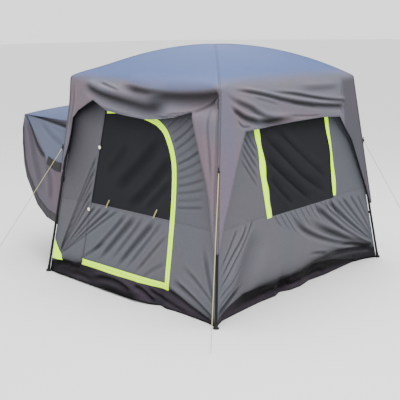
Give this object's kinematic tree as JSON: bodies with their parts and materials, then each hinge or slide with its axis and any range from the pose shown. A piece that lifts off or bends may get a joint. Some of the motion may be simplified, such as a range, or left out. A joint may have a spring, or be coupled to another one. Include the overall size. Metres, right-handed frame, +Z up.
{
  "type": "suv tent",
  "caption": "Framed camping tent with an overhanging fly, a zipped door, mesh windows, guy lines and a sleeve that reaches a car's open back.",
  "frame": {"origin": "on the ground under the peak, at the middle of the floor's underside", "axes": "+Z up; -Y is the wall with the door, +X the wall with the window, -X the wall with the sleeve"},
  "size_m": [3.4837, 3.4344, 2.25],
  "materials": {
    "fly": "coated woven polyester, satin",
    "wall": "woven polyester, matt",
    "skirt": "heavy coated fabric, matt",
    "floor": "heavy coated fabric, matt",
    "mesh": "fine insect mesh",
    "zip": "bright woven tape",
    "tube": "black powder coat",
    "plastic": "moulded",
    "guy": "braided line"
  },
  "bodies": {
    "tent": {"hub": "plastic", "roof_pole_front_left": "tube", "roof_pole_front_right": "tube", "roof_pole_back_right": "tube", "roof_pole_back_left": "tube", "eave_elbow_front_left": "plastic", "eave_elbow_front_right": "plastic", "eave_elbow_back_right": "plastic", "eave_elbow_back_left": "plastic", "leg_front_left": "tube", "leg_front_right": "tube", "leg_back_right": "tube", "leg_back_left": "tube", "fly_roof_front": "fly", "fly_roof_right": "fly", "fly_roof_back": "fly", "fly_roof_left": "fly", "fly_side_front": "fly", "fly_side_right": "fly", "fly_side_back": "fly", "fly_side_left": "fly", "floor": "floor", "skirt_front": "skirt", "skirt_right": "skirt", "skirt_back": "skirt", "skirt_left": "skirt", "front_wall_left": "wall", "front_wall_top": "wall", "front_wall_right": "wall", "right_wall": "wall", "back_wall": "wall", "left_wall": "wall", "ceiling_front": "mesh", "ceiling_right": "mesh", "ceiling_back": "mesh", "ceiling_left": "mesh", "right_window_mesh": "mesh", "back_window_mesh": "mesh", "sleeve_roof": "fly", "sleeve_front": "fly", "sleeve_back": "fly", "guy_front_left": "guy", "guy_front_right": "guy", "guy_back_right": "guy", "guy_back_left": "guy"},
    "door": {"door_hem": "wall", "door_panel": "wall", "door_mesh": "mesh", "door_zip_tape": "zip"}
  },
  "joints": [
    {"name": "door_hinge", "type": "hinge", "parent": "tent", "child": "door", "pos_m": [-0.68, -1.21902, 0.15], "axis": [0.0854, 0.1858, 0.9789], "range_deg": [0, 90]}
  ]
}
